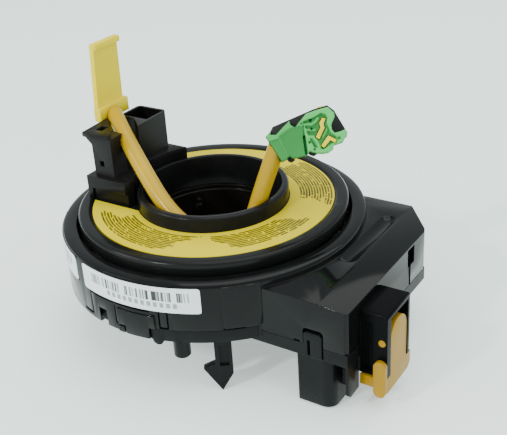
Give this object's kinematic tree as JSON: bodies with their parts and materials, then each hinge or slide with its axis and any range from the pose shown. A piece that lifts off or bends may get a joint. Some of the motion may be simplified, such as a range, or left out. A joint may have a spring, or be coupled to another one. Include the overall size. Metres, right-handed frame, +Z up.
{
  "type": "steering clock spring",
  "caption": "Steering clock spring with a turning rotor, connector tower, sleeved leads with a squib plug, side connector with sliding lock and a connector leg.",
  "frame": {"origin": "on the rotor's turning axis, level with the seat ring's face under the round housing", "axes": "+Z up the turning axis towards the steering wheel, +X from the axis to the side box, +Y along the box's long face away from the connector leg"},
  "size_m": [0.1273, 0.1028, 0.092],
  "materials": {
    "case_black": "gloss moulded plastic",
    "cover_black": "gloss moulded plastic",
    "rotor_black": "gloss moulded plastic",
    "label_yellow": "satin printed film",
    "label_white": "satin printed film",
    "sleeve_yellow": "satin soft sleeve",
    "flag_cream": "satin moulded plastic",
    "plug_green": "satin moulded plastic",
    "insert_yellow": "satin moulded plastic",
    "lock_orange": "satin moulded plastic",
    "terminal": "tinned",
    "ribbon_film": "clear film over copper"
  },
  "bodies": {
    "stator": {"upper_case": "case_black", "lower_cover": "cover_black", "connector_leg": "cover_black", "barcode_label": "label_white", "side_label": "label_white", "side_connector_shell": "case_black", "side_connector_pins": "terminal", "leg_insert": "cover_black", "leg_pins": "terminal", "ribbon_cable": "ribbon_film", "ribbon_outer_holder": "case_black", "slip_sheet": "ribbon_film"},
    "rotor": {"rotor_disc": "rotor_black", "hub_sleeve": "rotor_black", "connector_tower": "rotor_black", "tower_pins": "terminal", "ring_label": "label_yellow", "ribbon_inner_holder": "rotor_black", "lead_holder": "rotor_black", "lead_a_sleeve": "sleeve_yellow", "lead_b_sleeve": "sleeve_yellow", "flag_end": "flag_cream", "squib_cover": "plug_green", "squib_insert": "insert_yellow", "squib_shell": "rotor_black", "squib_contacts": "terminal"},
    "side_lock": {"side_connector_lock": "lock_orange"}
  },
  "joints": [
    {"name": "rotor_spin", "type": "hinge", "parent": "stator", "child": "rotor", "pos_m": [0, 0, 0], "axis": [0, 0, 1], "range_deg": [-900, 900]},
    {"name": "side_lock_slide", "type": "slide", "parent": "stator", "child": "side_lock", "axis": [0, 0, -1], "range_m": [0, 0.005]}
  ]
}
